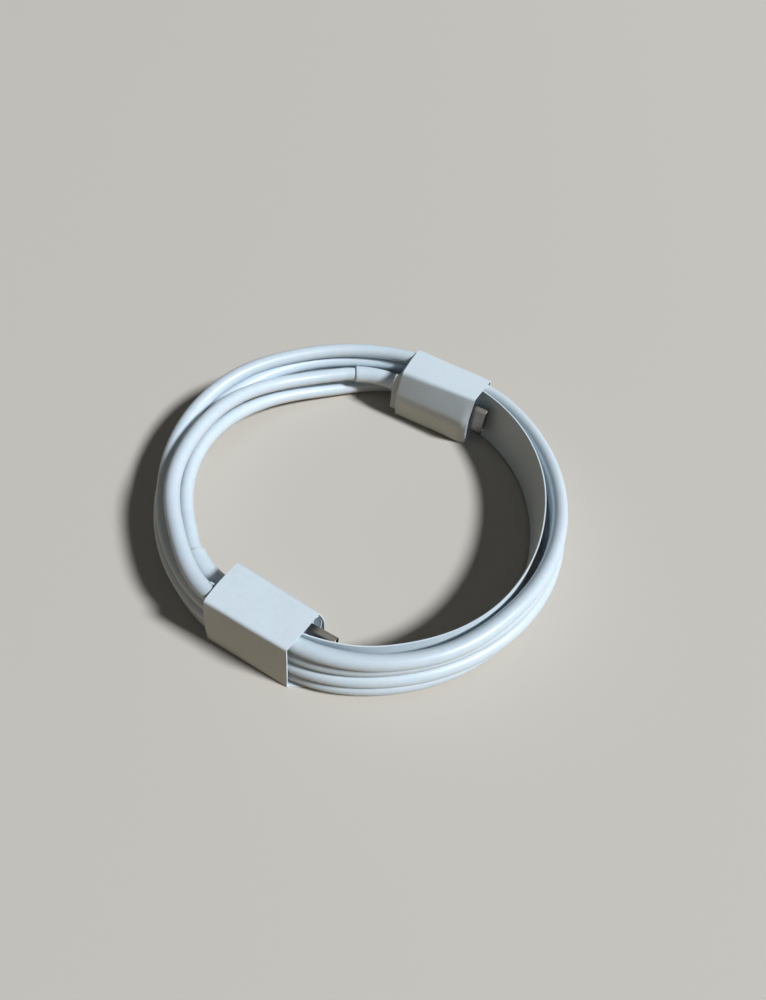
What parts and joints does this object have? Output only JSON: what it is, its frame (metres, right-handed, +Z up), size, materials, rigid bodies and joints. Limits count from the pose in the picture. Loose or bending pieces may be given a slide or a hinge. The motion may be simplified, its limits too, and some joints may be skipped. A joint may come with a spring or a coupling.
{
  "type": "USB-C charging cable",
  "caption": "White USB-C charging cable wound into a flat round coil, with a plug at each end, held by folded paper sleeves and a paper strip.",
  "frame": {"origin": "middle of the coil, on the surface that the coil lies on", "axes": "+Z up, through the coil; the sleeves lie on the Y axis and both plugs point along +X"},
  "size_m": [0.0978, 0.095, 0.0153],
  "materials": {
    "cable_jacket": "smooth matte white jacket",
    "overmould": "smooth satin white",
    "paper": "matte white paper",
    "shell_metal": "satin nickel",
    "tongue_plastic": "matte black",
    "contact_gold": "gold plate",
    "spring_steel": "bright sheet",
    "circuit_board": "green solder mask",
    "capacitor_ceramic": "matte ceramic",
    "crimp_brass": "tinned",
    "wire_red": "matte",
    "wire_black": "matte",
    "wire_green": "matte",
    "wire_white": "matte",
    "wire_blue": "matte"
  },
  "bodies": {
    "cable": {"cable_coil": "cable_jacket", "inner_strip": "paper", "far_housing": "overmould", "far_strain_relief": "overmould", "far_shell": "shell_metal", "far_insulator": "tongue_plastic", "far_contacts_upper": "contact_gold", "far_contacts_lower": "contact_gold", "far_latch_plate": "spring_steel", "far_ground_spring_upper": "spring_steel", "far_ground_spring_lower": "spring_steel", "far_circuit_card": "circuit_board", "far_capacitor": "capacitor_ceramic", "far_shield_can_upper": "spring_steel", "far_shield_can_lower": "spring_steel", "far_crimp_ring": "crimp_brass", "far_cable_end": "cable_jacket", "far_power_wire": "wire_red", "far_ground_wire": "wire_black", "far_data_plus_wire": "wire_green", "far_data_minus_wire": "wire_white", "far_sense_wire": "wire_blue", "near_housing": "overmould", "near_strain_relief": "overmould", "near_shell": "shell_metal", "near_insulator": "tongue_plastic", "near_contacts_upper": "contact_gold", "near_contacts_lower": "contact_gold", "near_latch_plate": "spring_steel", "near_ground_spring_upper": "spring_steel", "near_ground_spring_lower": "spring_steel", "near_circuit_card": "circuit_board", "near_capacitor": "capacitor_ceramic", "near_shield_can_upper": "spring_steel", "near_shield_can_lower": "spring_steel", "near_crimp_ring": "crimp_brass", "near_cable_end": "cable_jacket", "near_power_wire": "wire_red", "near_ground_wire": "wire_black", "near_data_plus_wire": "wire_green", "near_data_minus_wire": "wire_white", "near_sense_wire": "wire_blue"},
    "far_sleeve": {"far_sleeve": "paper"},
    "near_sleeve": {"near_sleeve": "paper"}
  },
  "joints": [
    {"name": "far_sleeve_slide", "type": "slide", "parent": "cable", "child": "far_sleeve", "axis": [1, 0, 0], "range_m": [-0.004, 0.008]},
    {"name": "near_sleeve_slide", "type": "slide", "parent": "cable", "child": "near_sleeve", "axis": [1, 0, 0], "range_m": [-0.004, 0.008]}
  ]
}
